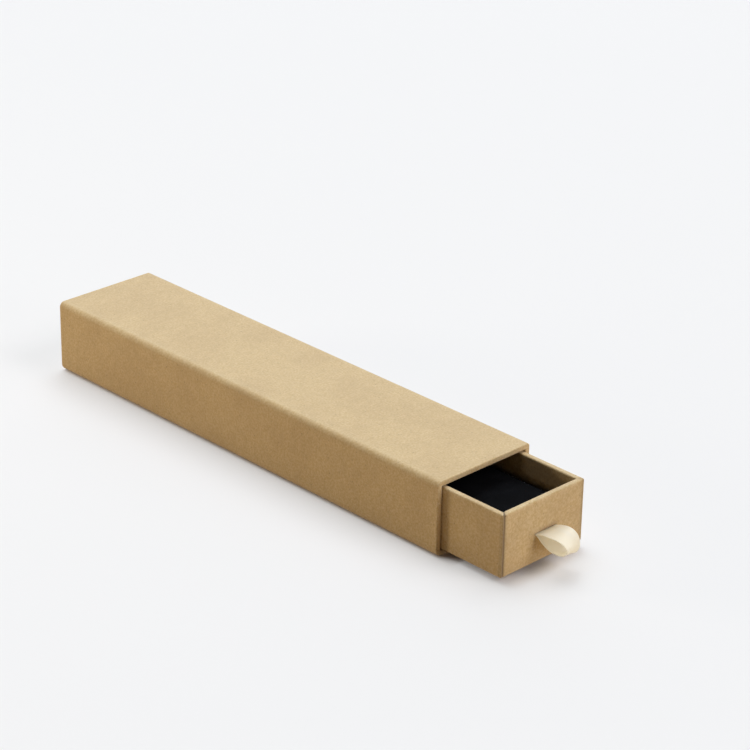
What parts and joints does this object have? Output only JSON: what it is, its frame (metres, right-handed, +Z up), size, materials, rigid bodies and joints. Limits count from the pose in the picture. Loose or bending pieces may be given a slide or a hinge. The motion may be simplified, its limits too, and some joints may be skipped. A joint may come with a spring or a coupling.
{
  "type": "sliding drawer gift box",
  "caption": "Slim kraft-covered gift box: a padded drawer slides in an open-ended sleeve and is drawn out by a satin ribbon loop.",
  "frame": {"origin": "middle of the sleeve's underside, at the level of the table", "axes": "+Z up; the drawer pulls out towards -Y, and the box's length runs along Y; +X to the right as the pull is faced from behind the box"},
  "size_m": [0.045, 0.2458, 0.0286],
  "materials": {
    "greyboard": "matte",
    "kraft_paper": "matte",
    "lining_paper": "matte",
    "stay_tape": "matte",
    "satin_ribbon": "satin",
    "black_foam": "matte",
    "black_velvet": "matte"
  },
  "bodies": {
    "sleeve": {"sleeve_board": "greyboard", "sleeve_seam_tape": "stay_tape", "sleeve_wrap": "kraft_paper", "sleeve_lining": "lining_paper"},
    "drawer": {"drawer_board": "greyboard", "drawer_wrap": "kraft_paper", "corner_stay_front_left": "stay_tape", "corner_stay_front_right": "stay_tape", "corner_stay_back_left": "stay_tape", "corner_stay_back_right": "stay_tape", "ribbon_tails": "satin_ribbon", "ribbon_patch": "stay_tape", "foam_pad": "black_foam", "pad_cover": "black_velvet"},
    "pull": {"pull_ribbon": "satin_ribbon"}
  },
  "joints": [
    {"name": "drawer_slide", "type": "slide", "parent": "sleeve", "child": "drawer", "axis": [0, -1, 0], "range_m": [-0.0275, 0.176]},
    {"name": "pull_flex", "type": "hinge", "parent": "drawer", "child": "pull", "pos_m": [0.0016, -0.1299, 0.013], "axis": [-1, 0, 0], "range_deg": [-30, 50], "stiffness_Nm_per_rad": 0.0002}
  ]
}
